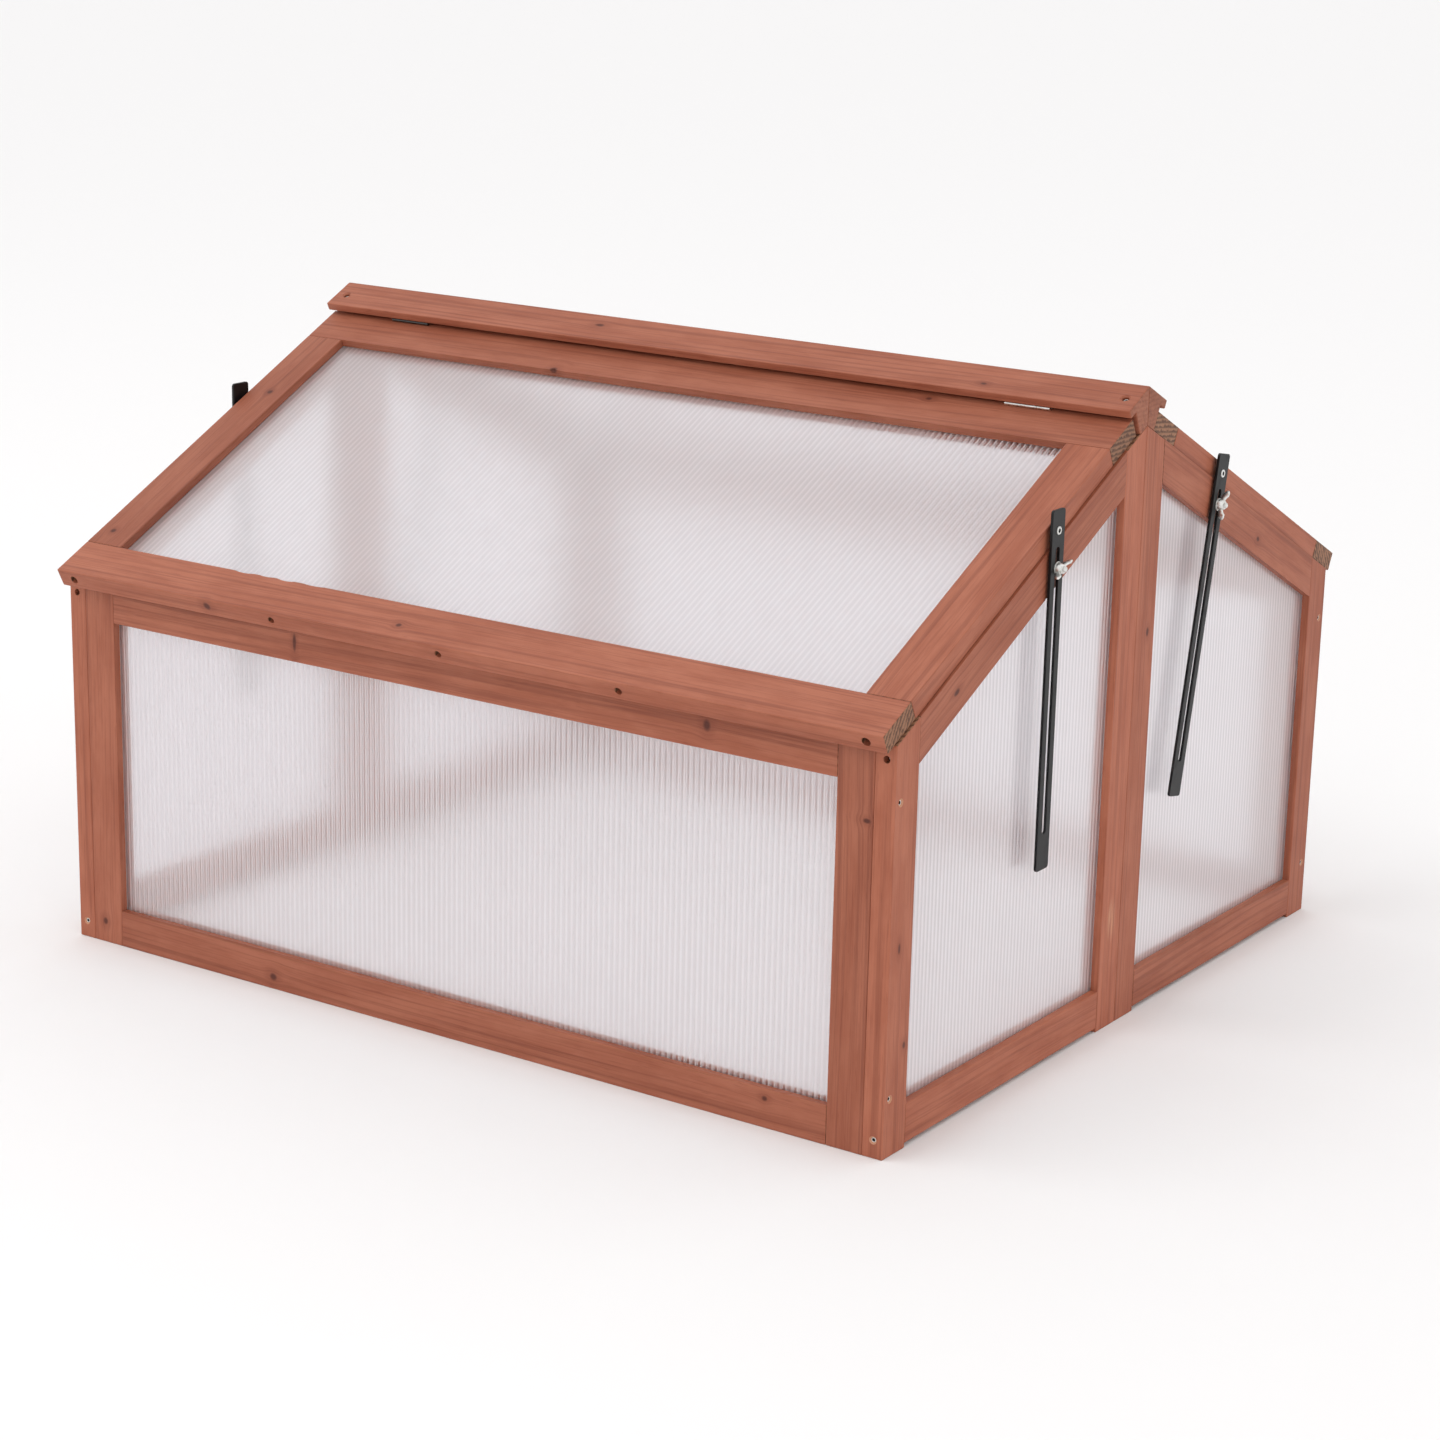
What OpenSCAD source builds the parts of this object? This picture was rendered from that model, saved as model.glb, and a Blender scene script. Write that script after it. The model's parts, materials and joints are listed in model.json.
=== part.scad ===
// Portable greenhouse: a bottomless cold frame of grooved wooden sticks and twin-wall sheets.
// Two lids hinge under a ridge board and are held open by slotted stays and wing nuts.
// X runs along the ridge, Y from front to back and Z up. The origin is on the ground, in the middle.

/* [Frame] */
// Length over the two end frames
frame_l = 900; // [600:10:1500]
// Depth over the front and back panels
frame_w = 800; // [600:10:1200]
// Height of the front and back edges of the end frames
eave_h = 350; // [280:5:500]
// Height of the end frames' peak
apex_h = 548; // [480:2:640]
// How far the end frames' bottom rails stand above the ground
end_rail_lift = 4; // [1:1:20]

/* [Sticks] */
// Face width of the frame sticks
stick_w = 35; // [28:1:50]
// Thickness of the frame sticks
stick_t = 19.5; // [16:0.5:30]

/* [Sheets] */
// Thickness of the twin-wall sheets
sheet_t = 4; // [3:0.5:6]
// Depth from a stick's outer face down to its sheet
sheet_inset = 8; // [4:0.5:9]
// How far a sheet reaches into its groove
sheet_seat = 7; // [4:0.5:12]
// Clearance all round a sheet in its groove
sheet_play = 0.2; // [0.1:0.05:0.5]

/* [Lids] */
// Thickness of the lid sticks
lid_t = 18; // [16:0.5:25]
// Width of a lid's eave rail and top rail
lid_rail_w = 45; // [35:1:60]
// Width of a lid's two stiles
lid_stile_w = 42; // [35:1:60]
// How far a lid stops short of the end frames at each end
lid_end_gap = 2; // [1:0.5:4]
// How far a lid reaches past the corner of the end frame, down the slope
lid_overhang = 11; // [0:1:30]
// Gap between a lid and the end frames that it lies on
lid_lift = 0.6; // [0.5:0.1:2]

/* [Ridge] */
// Half width of the ridge board's stem, along the slope
stem_w = 14; // [12:0.5:25]
// Gap between the stem and the lids
stem_gap = 3.5; // [3.3:0.1:6]
// How far the ridge board's wing reaches out, along the slope
wing_reach = 23.5; // [22:0.5:40]
// Thickness of the wing
wing_t = 8; // [6:0.5:15]
// Gap between a lid and the wing above it
wing_gap = 4.4; // [4.2:0.1:8]

/* [Hinges] */
// Length of a hinge
hinge_l = 45; // [30:1:80]
// Distance from the end of the greenhouse to the middle of a hinge
hinge_inset = 103; // [60:1:200]
// Height of the hinge pin over the lid
pin_rise = 2; // [1.9:0.1:3]
// How far the hinge pin lies in from the lid's edge
pin_in = 4; // [3:0.5:8]
// Outer diameter of the knuckles
knuckle_d = 3.4; // [3:0.1:5]
// Diameter of the hinge pin
hinge_pin_d = 2; // [1.5:0.1:2.2]
// Radial clearance between the pin and the knuckle that turns on it
pin_play = 0.05; // [0.02:0.01:0.1]
// Thickness of the hinge leaves
leaf_t = 1.2; // [0.8:0.1:1.4]
// Height of the hinge leaves on the stem and on the lid's edge
leaf_h = 14; // [8:1:16]

/* [Stays] */
// Width of a stay
stay_w = 21; // [16:1:30]
// Thickness of a stay
stay_t = 2.5; // [1.5:0.5:4]
// Length of a stay
stay_l = 314; // [280:2:330]
// Distance from a stay's top end to its screw
stay_head = 18; // [12:1:30]
// Distance from the screw to the top of the slot
slot_start = 14; // [10:1:20]
// Length of the slot
slot_l = 250; // [200:2:260]
// Width of the slot
slot_w = 6.5; // [5.6:0.1:9]
// Rounding of the stay's corners
stay_r = 3; // [1:0.5:6]
// Gap between the end frames and the stays
stay_gap = 2; // [1:0.5:5]
// Diameter of the screw that holds a stay to its lid
stay_screw_d = 4; // [3:0.5:6]
// Clearance between the stay's screw and the lid
screw_play = 0.3; // [0.2:0.1:1]
// Distance from the ridge to the front stays' screws
front_stay_y = 160; // [120:1:200]
// Height of the front stays' screws above the end frames, square to the slope
front_stay_rise = 13; // [6:0.5:14]
// Distance from the front stays' screws down to their bolts
front_stay_drop = 32; // [30:1:40]
// Lean of the front stays, positive when the foot is nearer the middle
front_stay_lean = 0; // [-5:0.5:15]
// Distance from the ridge to the back stays' screws
back_stay_y = 145; // [120:1:200]
// Height of the back stays' screws above the end frames, square to the slope
back_stay_rise = 7; // [6:0.5:14]
// Distance from the back stays' screws down to their bolts
back_stay_drop = 28; // [26:1:40]
// Lean of the back stays, positive when the foot is nearer the middle
back_stay_lean = 11.3; // [-5:0.1:15]

/* [Bolts] */
// Diameter of the bolts that clamp the stays
bolt_d = 5; // [4:0.5:5.5]
// Radial clearance of a bolt in its rafter
bolt_play = 0.05; // [0.02:0.01:0.1]
// Diameter of the bolt's head inside the rafter
bolt_head_d = 12; // [9:0.5:16]
// Thickness of the bolt's head
bolt_head_t = 2.5; // [1.5:0.5:4]
// Diameter of the wing nut's hub
nut_d = 10; // [8:0.5:14]
// Length of the wing nut's hub
nut_l = 7; // [4:0.5:10]
// Distance between the tips of the wing nut's wings
nut_span = 24; // [18:1:34]
// Thickness of the wings
nut_wing_t = 2; // [1.5:0.5:3]
// Turn of the wing nuts round their bolts
nut_turn = 35; // [0:5:180]

/* [Hidden] */
$fn = 48;
eps = 0.5;                                   // over-cut of holes and grooves
half_l = frame_l / 2;
half_w = frame_w / 2;
slope = atan((apex_h - eave_h) / half_w);    // of the roof
panel_l = frame_l - 2 * stick_t;             // front and back panels fit between the end frames
end_rail_top = end_rail_lift + stick_w;

lid_l = frame_l - 2 * lid_end_gap;
lid_top = lid_lift + lid_t;                  // lid's top face, square to the slope
lid_s0 = stem_w + stem_gap;                  // lid's inner edge, measured down the slope from the peak
lid_s1 = half_w / cos(slope) + lid_overhang; // lid's eave edge
pin_s = lid_s0 + pin_in;
pin_n = lid_top + pin_rise;
wing_n = lid_top + wing_gap;                 // underside of the wing
hinge_x = half_l - hinge_inset;
leaf_clear = 0.6;                            // between a leaf and the other leaf's knuckle
leaf_top = min(pin_n + knuckle_d / 2, wing_n);

stay_x = half_l + stay_gap;
bolt_grip = stick_t + stay_gap + stay_t;     // from the rafter's inner face to the nut

// ---------- placing ----------

// Turns a piece made for the back into one for the front when side is -1
module facing(side) {
    mirror([0, side < 0 ? 1 : 0, 0]) children();
}

// Turns a piece made for the right end into one for the left end when side is -1
module at_end(side) {
    mirror([side < 0 ? 1 : 0, 0, 0]) children();
}

// Lays a piece on the roof: its Y then runs down the slope from the peak and its Z square to it
module on_roof(side) {
    facing(side) translate([0, 0, apex_h]) rotate([-slope, 0, 0]) children();
}

// A bar between two corners
module bar(low, high) {
    translate(low) cube(high - low);
}

// An outline drawn in Y and Z, made solid between two X values
module slab_yz(points, x0, x1) {
    translate([x0, 0, 0]) rotate([90, 0, 90]) linear_extrude(x1 - x0) polygon(points);
}

// Height of the roof line at a distance y from the middle, dropped by d square to the slope
function roof_z(y, d = 0) = apex_h - y * tan(slope) - d / cos(slope);

// ---------- front and back panels ----------

// The sheet of a panel, grown by g all round
module panel_sheet(g = 0) {
    reach = panel_l / 2 - stick_w + sheet_seat + g;
    y1 = half_w - sheet_inset + g;
    bar([-reach, y1 - sheet_t - 2 * g, stick_w - sheet_seat - g],
        [reach, y1, eave_h - stick_w + sheet_seat + g]);
}

module panel_stiles(side) {
    color("sienna") facing(side) difference() {
        for (end = [-1, 1]) at_end(end)
            bar([panel_l / 2 - stick_w, half_w - stick_t, 0], [panel_l / 2, half_w, eave_h]);
        panel_sheet(sheet_play);
    }
}

module panel_rail(side, z0) {
    rail_reach = panel_l / 2 - stick_w;
    color("peru") facing(side) difference() {
        bar([-rail_reach, half_w - stick_t, z0], [rail_reach, half_w, z0 + stick_w]);
        panel_sheet(sheet_play);
    }
}

module panel_glazing(side) {
    color("lavender") facing(side) panel_sheet();
}

// ---------- end frames ----------

// Outline of one sheet of an end frame, grown by g all round
function end_sheet_points(g) = let (
    y0 = stick_w - sheet_seat - g,
    y1 = half_w - stick_w + sheet_seat + g,
    z0 = end_rail_top - sheet_seat - g,
    d = stick_w - sheet_seat - g
) [[y0, z0], [y1, z0], [y1, roof_z(y1, d)], [y0, roof_z(y0, d)]];

module end_sheet(g = 0) {
    x1 = half_l - sheet_inset + g;
    slab_yz(end_sheet_points(g), x1 - sheet_t - 2 * g, x1);
}

// An upright stick from y0 to y1, cut to the roof line, with its groove
module upright(y0, y1) {
    difference() {
        slab_yz([[y0, 0], [y1, 0], [y1, roof_z(y1)], [y0, roof_z(y0)]], half_l - stick_t, half_l);
        end_sheet(sheet_play);
    }
}

module end_stile(end, side) {
    color("sienna") at_end(end) facing(side) upright(half_w - stick_w, half_w);
}

module end_post(end, side) {
    color("chocolate") at_end(end) facing(side) upright(0, stick_w);
}

module end_bottom_rails(end) {
    color("peru") at_end(end) for (side = [-1, 1]) facing(side) difference() {
        bar([half_l - stick_t, stick_w, end_rail_lift], [half_l, half_w - stick_w, end_rail_top]);
        end_sheet(sheet_play);
    }
}

// Places something at a stay's bolt, with its Z running up the stay
module at_bolt(side) {
    y = side < 0 ? front_stay_y : back_stay_y;
    rise = side < 0 ? front_stay_rise : back_stay_rise;
    drop = side < 0 ? front_stay_drop : back_stay_drop;
    lean = side < 0 ? front_stay_lean : back_stay_lean;
    facing(side) translate([0, y - drop * sin(lean), roof_z(y, -rise) - drop * cos(lean)])
        rotate([-lean, 0, 0]) children();
}

module end_rafters(end) {
    y0 = stick_w;
    y1 = half_w - stick_w;
    color("peru") at_end(end) difference() {
        for (side = [-1, 1]) facing(side)
            slab_yz([[y0, roof_z(y0)], [y1, roof_z(y1)], [y1, roof_z(y1, stick_w)], [y0, roof_z(y0, stick_w)]],
                half_l - stick_t, half_l);
        for (side = [-1, 1]) facing(side) end_sheet(sheet_play);
        for (side = [-1, 1]) at_bolt(side)
            translate([half_l - stick_t - eps, 0, 0]) rotate([0, 90, 0])
                cylinder(r = bolt_d / 2 + bolt_play, h = stick_t + 2 * eps);
    }
}

module end_glazing(end) {
    color("lavender") at_end(end) for (side = [-1, 1]) facing(side) end_sheet();
}

// ---------- ridge board and hinges ----------

// A point given down the slope and square to it, as Y and Z
function roof_point(s, n) = [s * cos(slope) + n * sin(slope), apex_h - s * sin(slope) + n * cos(slope)];

module ridge_half(side) {
    color("brown") facing(side) slab_yz([
        [0, apex_h],
        roof_point(stem_w, 0),
        roof_point(stem_w, wing_n),
        roof_point(wing_reach, wing_n),
        roof_point(wing_reach, wing_n + wing_t),
        [0, apex_h + (wing_n + wing_t) / cos(slope)]
    ], -half_l, half_l);
}

// A knuckle or pin of one hinge, from x0 to x1
module hinge_rod(x0, x1, d) {
    translate([x0, pin_s, pin_n]) rotate([0, 90, 0]) cylinder(d = d, h = x1 - x0);
}

// Leaf on the stem: a flange on the stem, a strip under the wing, two knuckles and the pin
module ridge_leaf() {
    third = hinge_l / 3;
    stop = pin_s - knuckle_d / 2 - leaf_clear;
    bar([-hinge_l / 2, stem_w, wing_n - leaf_h - leaf_t], [hinge_l / 2, stem_w + leaf_t, wing_n]);
    bar([-hinge_l / 2, stem_w, wing_n - leaf_t], [hinge_l / 2, stop, wing_n]);
    for (end = [-1, 1]) at_end(end) {
        bar([third / 2, stem_w, leaf_top - leaf_t], [hinge_l / 2, pin_s, leaf_top]);
        bar([third / 2, stem_w, leaf_top - leaf_t], [hinge_l / 2, stop, wing_n]);
        hinge_rod(third / 2, hinge_l / 2, knuckle_d);
    }
    hinge_rod(-hinge_l / 2, hinge_l / 2, hinge_pin_d);
}

// Leaf on the lid: a flange on the lid's inner edge, a strip on its top and the middle knuckle
module lid_leaf() {
    third = hinge_l / 3;
    knuckle_l = third - 2 * pin_play;
    stop = pin_s - knuckle_d / 2 - leaf_clear;
    difference() {
        union() {
            bar([-hinge_l / 2, lid_s0 - leaf_t, lid_top - leaf_h], [hinge_l / 2, lid_s0, lid_top + leaf_t]);
            bar([-hinge_l / 2, lid_s0 - leaf_t, lid_top], [hinge_l / 2, stop, lid_top + leaf_t]);
            bar([-knuckle_l / 2, lid_s0, lid_top], [knuckle_l / 2, pin_s, lid_top + leaf_t]);
            hinge_rod(-knuckle_l / 2, knuckle_l / 2, knuckle_d);
        }
        hinge_rod(-knuckle_l / 2 - eps, knuckle_l / 2 + eps, hinge_pin_d + 2 * pin_play);
    }
}

module ridge_hinge_leaves() {
    color("silver") for (side = [-1, 1]) on_roof(side)
        for (x = [-hinge_x, hinge_x]) translate([x, 0, 0]) ridge_leaf();
}

module lid_hinge_leaves(side) {
    color("silver") on_roof(side) for (x = [-hinge_x, hinge_x]) translate([x, 0, 0]) lid_leaf();
}

// ---------- lids ----------

// The sheet of a lid, grown by g all round
module lid_sheet(g = 0) {
    reach = lid_l / 2 - lid_stile_w + sheet_seat + g;
    n1 = lid_top - sheet_inset + g;
    bar([-reach, lid_s0 + lid_rail_w - sheet_seat - g, n1 - sheet_t - 2 * g],
        [reach, lid_s1 - lid_rail_w + sheet_seat + g, n1]);
}

module lid_rail(side, s0) {
    color("peru") on_roof(side) difference() {
        bar([-lid_l / 2, s0, lid_lift], [lid_l / 2, s0 + lid_rail_w, lid_top]);
        lid_sheet(sheet_play);
    }
}

module lid_stile(side, end) {
    color("sienna") on_roof(side) at_end(end) difference() {
        bar([lid_l / 2 - lid_stile_w, lid_s0 + lid_rail_w, lid_lift], [lid_l / 2, lid_s1 - lid_rail_w, lid_top]);
        lid_sheet(sheet_play);
    }
}

module lid_glazing(side) {
    color("lavender") on_roof(side) lid_sheet();
}

// ---------- stays and wing-nut bolts ----------

// Flat bar with rounded corners, drawn down from its screw at the origin
module stay_outline() {
    difference() {
        translate([-stay_w / 2 + stay_r, stay_head - stay_l + stay_r])
            rounded_rectangle(stay_w - 2 * stay_r, stay_l - 2 * stay_r, stay_r);
        for (z = [-slot_start - slot_w / 2, -slot_start - slot_l + slot_w / 2])
            translate([0, z]) circle(d = slot_w);
        translate([-slot_w / 2, -slot_start - slot_l + slot_w / 2]) square([slot_w, slot_l - slot_w]);
    }
}

// A rectangle w by h whose corners are rounded outwards by r
module rounded_rectangle(w, h, r) {
    translate([-r, 0]) square([w + 2 * r, h]);
    translate([0, -r]) square([w, h + 2 * r]);
    for (x = [0, w], y = [0, h]) translate([x, y]) circle(r = r);
}

module stay(side, end) {
    drop = side < 0 ? front_stay_drop : back_stay_drop;
    color("dimgray") at_end(end) at_bolt(side) translate([0, 0, drop]) {
        translate([stay_x, 0, 0]) rotate([90, 0, 90]) linear_extrude(stay_t) stay_outline();
        translate([half_l - lid_end_gap + screw_play, 0, 0]) rotate([0, 90, 0])
            cylinder(d = stay_screw_d, h = stay_gap + lid_end_gap - screw_play + stay_t / 2);
    }
}

module stay_bolt(side, end) {
    hub_x = half_l + stay_gap + stay_t;
    color("gainsboro") at_end(end) at_bolt(side) {
        translate([half_l - stick_t - bolt_head_t, 0, 0]) rotate([0, 90, 0])
            cylinder(d = bolt_head_d, h = bolt_head_t);
        translate([half_l - stick_t - bolt_head_t / 2, 0, 0]) rotate([0, 90, 0])
            cylinder(d = bolt_d, h = bolt_grip + nut_l + bolt_head_t);
        translate([hub_x, 0, 0]) rotate([0, 90, 0]) cylinder(d = nut_d, h = nut_l);
        translate([hub_x, 0, 0]) rotate([nut_turn, 0, 0]) {
            bar([nut_l * 0.3, -nut_span / 2, -nut_wing_t / 2], [nut_l * 1.3, nut_span / 2, nut_wing_t / 2]);
        }
    }
}

// ---------- nodes ----------

panel_stiles(-1);  // front_stiles
panel_rail(-1, eave_h - stick_w);  // front_top_rail
panel_rail(-1, 0);  // front_bottom_rail
panel_glazing(-1);  // front_sheet
panel_stiles(1);  // back_stiles
panel_rail(1, eave_h - stick_w);  // back_top_rail
panel_rail(1, 0);  // back_bottom_rail
panel_glazing(1);  // back_sheet
end_stile(-1, -1);  // left_front_stile
end_stile(-1, 1);  // left_back_stile
end_post(-1, -1);  // left_front_post
end_post(-1, 1);  // left_back_post
end_bottom_rails(-1);  // left_bottom_rails
end_rafters(-1);  // left_rafters
end_glazing(-1);  // left_sheets
end_stile(1, -1);  // right_front_stile
end_stile(1, 1);  // right_back_stile
end_post(1, -1);  // right_front_post
end_post(1, 1);  // right_back_post
end_bottom_rails(1);  // right_bottom_rails
end_rafters(1);  // right_rafters
end_glazing(1);  // right_sheets
ridge_half(-1);  // ridge_front_half
ridge_half(1);  // ridge_back_half
ridge_hinge_leaves();
lid_rail(-1, lid_s1 - lid_rail_w);  // front_lid_eave_rail
lid_rail(-1, lid_s0);  // front_lid_top_rail
lid_stile(-1, -1);  // front_lid_left_stile
lid_stile(-1, 1);  // front_lid_right_stile
lid_glazing(-1);  // front_lid_sheet
lid_hinge_leaves(-1);  // front_lid_hinge_leaves
lid_rail(1, lid_s1 - lid_rail_w);  // back_lid_eave_rail
lid_rail(1, lid_s0);  // back_lid_top_rail
lid_stile(1, -1);  // back_lid_left_stile
lid_stile(1, 1);  // back_lid_right_stile
lid_glazing(1);  // back_lid_sheet
lid_hinge_leaves(1);  // back_lid_hinge_leaves
stay(-1, -1);  // front_left_stay
stay(-1, 1);  // front_right_stay
stay(1, -1);  // back_left_stay
stay(1, 1);  // back_right_stay
stay_bolt(-1, -1);  // front_left_bolt
stay_bolt(-1, 1);  // front_right_bolt
stay_bolt(1, -1);  // back_left_bolt
stay_bolt(1, 1);  // back_right_bolt
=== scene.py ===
# %% [markdown]
# # A portable greenhouse
# A low wooden cold frame: a box of stained sticks with twin-wall sheets in their grooves, and two
# lids that hinge under a ridge board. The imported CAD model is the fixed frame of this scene. It says
# where everything is; the cells below give each piece its arrises, grain, ribs and fittings.

# %% Load the frame
import json
import math

import bmesh
import bpy
import numpy as np
from mathutils import Matrix, Vector


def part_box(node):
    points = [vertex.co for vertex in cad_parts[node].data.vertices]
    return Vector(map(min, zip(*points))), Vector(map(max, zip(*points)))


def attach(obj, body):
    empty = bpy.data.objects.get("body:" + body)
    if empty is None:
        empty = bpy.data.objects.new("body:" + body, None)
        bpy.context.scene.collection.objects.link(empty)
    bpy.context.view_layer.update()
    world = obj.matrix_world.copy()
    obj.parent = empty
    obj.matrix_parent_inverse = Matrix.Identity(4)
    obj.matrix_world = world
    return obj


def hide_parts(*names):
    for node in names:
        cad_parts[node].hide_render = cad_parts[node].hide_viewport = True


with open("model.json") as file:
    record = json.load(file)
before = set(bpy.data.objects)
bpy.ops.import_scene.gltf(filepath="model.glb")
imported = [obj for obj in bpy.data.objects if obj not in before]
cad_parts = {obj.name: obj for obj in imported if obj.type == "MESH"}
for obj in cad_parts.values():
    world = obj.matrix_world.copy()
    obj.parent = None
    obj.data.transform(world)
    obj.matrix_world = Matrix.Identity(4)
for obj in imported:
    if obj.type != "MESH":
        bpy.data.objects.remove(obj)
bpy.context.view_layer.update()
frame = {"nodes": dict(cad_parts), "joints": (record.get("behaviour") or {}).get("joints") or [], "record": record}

body_nodes = frame["record"]["behaviour"]["bodies"]
body_of_node = {node: body for body, nodes in body_nodes.items() for node in nodes}

# %% [markdown]
# ## Sizes
# Every place is worked out from the frame's own nodes, so the looks follow the CAD model when it
# changes. The roof's slope comes from the height of the end frames' peak and of their eaves.

# %% Sizes taken from the frame
MM = 0.001


def node_box(node):
    """The lowest and highest corner of a CAD node, as two numpy arrays in metres."""
    low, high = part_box(node)
    return np.array(low), np.array(high)


half_l = node_box("right_front_post")[1][0]
half_w = node_box("right_back_stile")[1][1]
peak = node_box("right_front_post")[1][2]
eave = node_box("front_stiles")[1][2]
stick_t = half_l - node_box("right_front_post")[0][0]
slope = math.atan2(peak - eave, half_w)
joint_at = {j["name"]: j for j in frame["joints"]}
print("half length", round(half_l, 4), "half depth", round(half_w, 4), "slope", round(math.degrees(slope), 2))


def roof_frame(side):
    """The roof's own axes for one side (-1 front, 1 back): its origin at the peak, a unit vector down
    the slope and a unit vector square to it."""
    down = np.array([0.0, side * math.cos(slope), -math.sin(slope)])
    out = np.array([0.0, side * math.sin(slope), math.cos(slope)])
    return np.array([0.0, 0.0, peak]), down, out


def on_roof(side, x, s, n):
    """The point x along the ridge, s down the slope from the peak and n square to it."""
    origin, down, out = roof_frame(side)
    return origin + np.array([x, 0.0, 0.0]) + s * down + n * out


def roof_reach(node, side):
    """The least and greatest s and n of a CAD node, in the roof's axes."""
    co = vertices_of(frame["nodes"][node].data)
    origin, down, out = roof_frame(side)
    s, n = (co - origin) @ down, (co - origin) @ out
    return s.min(), s.max(), n.min(), n.max()


def vertices_of(mesh):
    """A mesh's vertices as an array of shape (n, 3)."""
    co = np.empty(len(mesh.vertices) * 3, np.float32)
    mesh.vertices.foreach_get("co", co)
    return co.reshape(-1, 3).astype(float)


# %% [markdown]
# ## Camera, floor and light
# A long lens from the front right, a little above the lids. The floor is plain and pale. A white sky
# gives soft light from everywhere, and one large lamp overhead makes the tops of the sticks lighter
# than their faces. Lamps close to the object would give hard shadows, which this piece doesn't need.

# %% Camera
SENSOR = 36.0
LENS = 83.45
FAR_END = 200.0
CAMERA_AT = (1.741, -2.559, 1.0738)
YAW, PITCH, ROLL = 34.05, 74.32, 1.29

camera_data = bpy.data.cameras.new("camera")
camera_data.sensor_width = SENSOR
camera_data.lens = LENS
camera_data.clip_end = FAR_END
camera = bpy.data.objects.new("camera", camera_data)
bpy.context.scene.collection.objects.link(camera)
camera.matrix_world = (
    Matrix.Translation(CAMERA_AT)
    @ Matrix.Rotation(math.radians(YAW), 4, "Z")
    @ Matrix.Rotation(math.radians(PITCH), 4, "X")
    @ Matrix.Rotation(math.radians(ROLL), 4, "Z")
)
bpy.context.scene.camera = camera
bpy.context.scene.view_settings.view_transform = "Standard"
print("camera at", CAMERA_AT)


# %% Mesh helpers
def link(data, name):
    """A new object with this data, at the origin."""
    piece = bpy.data.objects.new(name, data)
    bpy.context.scene.collection.objects.link(piece)
    return piece


def mesh_from(name, points, faces):
    """A mesh from an array of points and one or more arrays of faces with the same corner count."""
    mesh = bpy.data.meshes.new(name)
    mesh.from_pydata(np.asarray(points).tolist(), [], [list(f) for block in faces for f in block.tolist()])
    mesh.update()
    return mesh


def of_faces(mesh, key):
    """The "center" or the "normal" of each face of a mesh, as an array of shape (n, 3)."""
    values = np.empty(len(mesh.polygons) * 3, np.float32)
    mesh.polygons.foreach_get(key, values)
    return values.reshape(-1, 3)


def write_attribute(mesh, name, values, domain="POINT", kind="FLOAT"):
    """Stores one value for each point or face of a mesh, for the materials to read."""
    made = mesh.attributes.new(name, kind, domain)
    part = "vector" if kind == "FLOAT_VECTOR" else "value"
    made.data.foreach_set(part, np.asarray(values, np.float32).ravel())


def from_axis(points, place, axis):
    """How far each point lies along an axis that starts at place, and how far away from it."""
    offset = points - place
    along = offset @ axis
    return along, np.linalg.norm(offset - along[:, None] * axis, axis=1)


def grid_faces(rows, columns):
    """Quads of a grid of rows by columns points, numbered row by row. Point (i, j) joins (i, j+1),
    (i+1, j+1) and (i+1, j), and the last column joins the first, so that the grid is a tube."""
    i = np.arange(rows - 1)[:, None] * columns
    j = np.arange(columns)[None, :]
    k = (j + 1) % columns
    return np.stack([i + j, i + k, i + columns + k, i + columns + j], -1).reshape(-1, 4)


# %% Floor, sky and lamp
FLOOR_HALF = 40.0
FLOOR_COLOUR = (0.9, 0.89, 0.89)
SKY_STRENGTH = 1.04
LAMP_AT, LAMP_AIM = (-1.2, -1.8, 4.2), (0, 0, 0.2)
LAMP_SIZE, LAMP_WATTS = 2.4, 30.0

floor_corners = FLOOR_HALF * np.array([[-1.0, -1, 0], [1, -1, 0], [1, 1, 0], [-1, 1, 0]])
floor_mesh = mesh_from("floor", floor_corners, [np.array([[0, 1, 2, 3]])])
floor = link(floor_mesh, "floor")

floor_paint = bpy.data.materials.new("floor_paint")
floor_paint.use_nodes = True
floor_shader = floor_paint.node_tree.nodes["Principled BSDF"]
floor_shader.inputs["Base Color"].default_value = (*FLOOR_COLOUR, 1)
floor_shader.inputs["Roughness"].default_value = 0.9
floor_shader.inputs["Specular IOR Level"].default_value = 0.1
floor_mesh.materials.append(floor_paint)

sky = bpy.data.worlds.new("sky")
sky.use_nodes = True
sky.node_tree.nodes["Background"].inputs["Color"].default_value = (1.0, 1.0, 1.0, 1)
sky.node_tree.nodes["Background"].inputs["Strength"].default_value = SKY_STRENGTH
bpy.context.scene.world = sky

lamp = link(bpy.data.lights.new("overhead_lamp", "AREA"), "overhead_lamp")
lamp.data.shape = "SQUARE"
lamp.data.size = LAMP_SIZE
lamp.data.energy = LAMP_WATTS
lamp.location = LAMP_AT
lamp.rotation_euler = (Vector(LAMP_AIM) - Vector(LAMP_AT)).to_track_quat("-Z", "Y").to_euler()
print("floor and light are in place")

# %% [markdown]
# ## Stained softwood
# The sticks are planed softwood with a red-brown stain. Wood is a solid pattern: growth rings are
# nearly parallel to the stick, so one pattern in the stick's own axes gives long streaks on its faces
# and arcs on its ends, with no seams at the arrises. The sticks' axes differ, so each piece carries
# its own coordinates in an attribute called grain: along, across and through the stick. Attributes
# also carry each stick's tone, its end faces and the places of its knots, so three materials serve
# every stick.


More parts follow.
